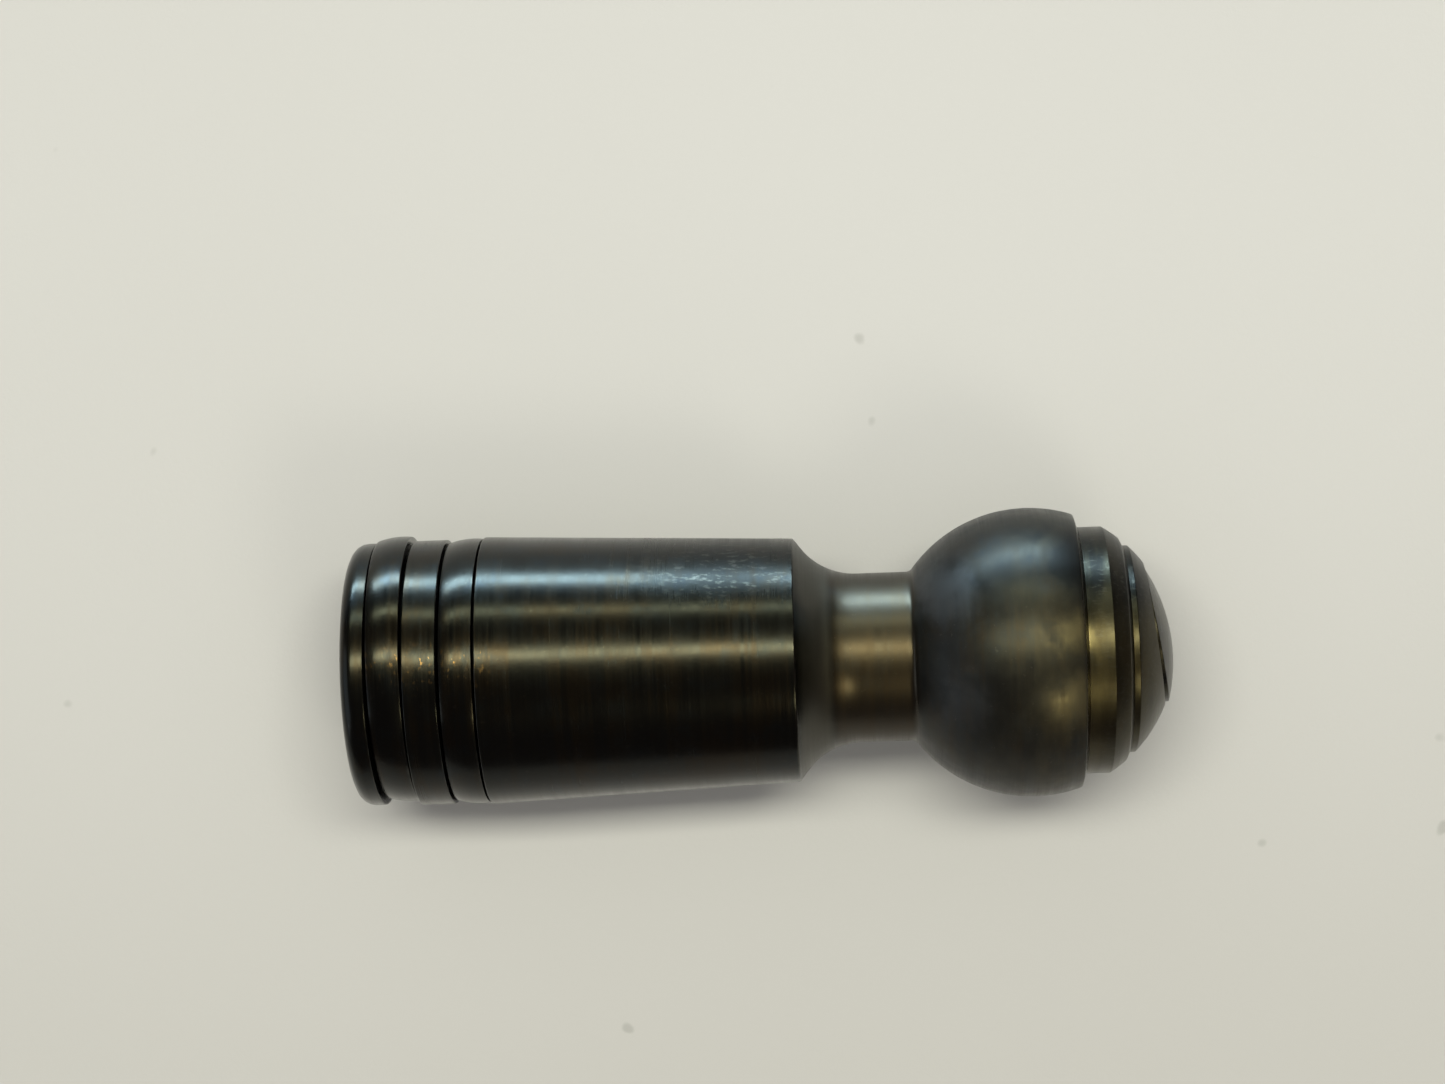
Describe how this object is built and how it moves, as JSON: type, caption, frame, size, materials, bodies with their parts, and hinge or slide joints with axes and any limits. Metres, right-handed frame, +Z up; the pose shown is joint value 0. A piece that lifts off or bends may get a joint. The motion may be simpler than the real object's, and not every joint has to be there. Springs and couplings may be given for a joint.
{
  "type": "ball-ended piston",
  "caption": "Tapered piston with a ball end, split rings near its rounded nose, a stepped ball tip and a pressed-in domed plug, as used in a bent-axis hydraulic unit.",
  "frame": {"origin": "centre of the ball, about which the drive flange swings the piston", "axes": "+X along the piston's axis from the nose to the ball tip; +Z up as it lies on a table"},
  "size_m": [0.0765, 0.027, 0.027],
  "materials": {
    "dark_steel": "ground and polished, nitrided or oxidised to a dark gunmetal",
    "plug_steel": "turned and lapped dark steel",
    "ring_steel": "ground dark steel with worn bright edges"
  },
  "bodies": {
    "piston": {"piston_body": "dark_steel", "tip_plug": "plug_steel"},
    "nose_ring": {"nose_ring": "ring_steel"},
    "body_ring": {"body_ring": "ring_steel"}
  },
  "joints": [
    {"name": "nose_ring_turn", "type": "hinge", "parent": "piston", "child": "nose_ring", "pos_m": [-0.05915, 0.00042, 0], "axis": [1, 0.0096, 0], "continuous": true},
    {"name": "body_ring_turn", "type": "hinge", "parent": "piston", "child": "body_ring", "pos_m": [-0.05255, 0, 0], "axis": [1, 0, 0], "continuous": true}
  ]
}
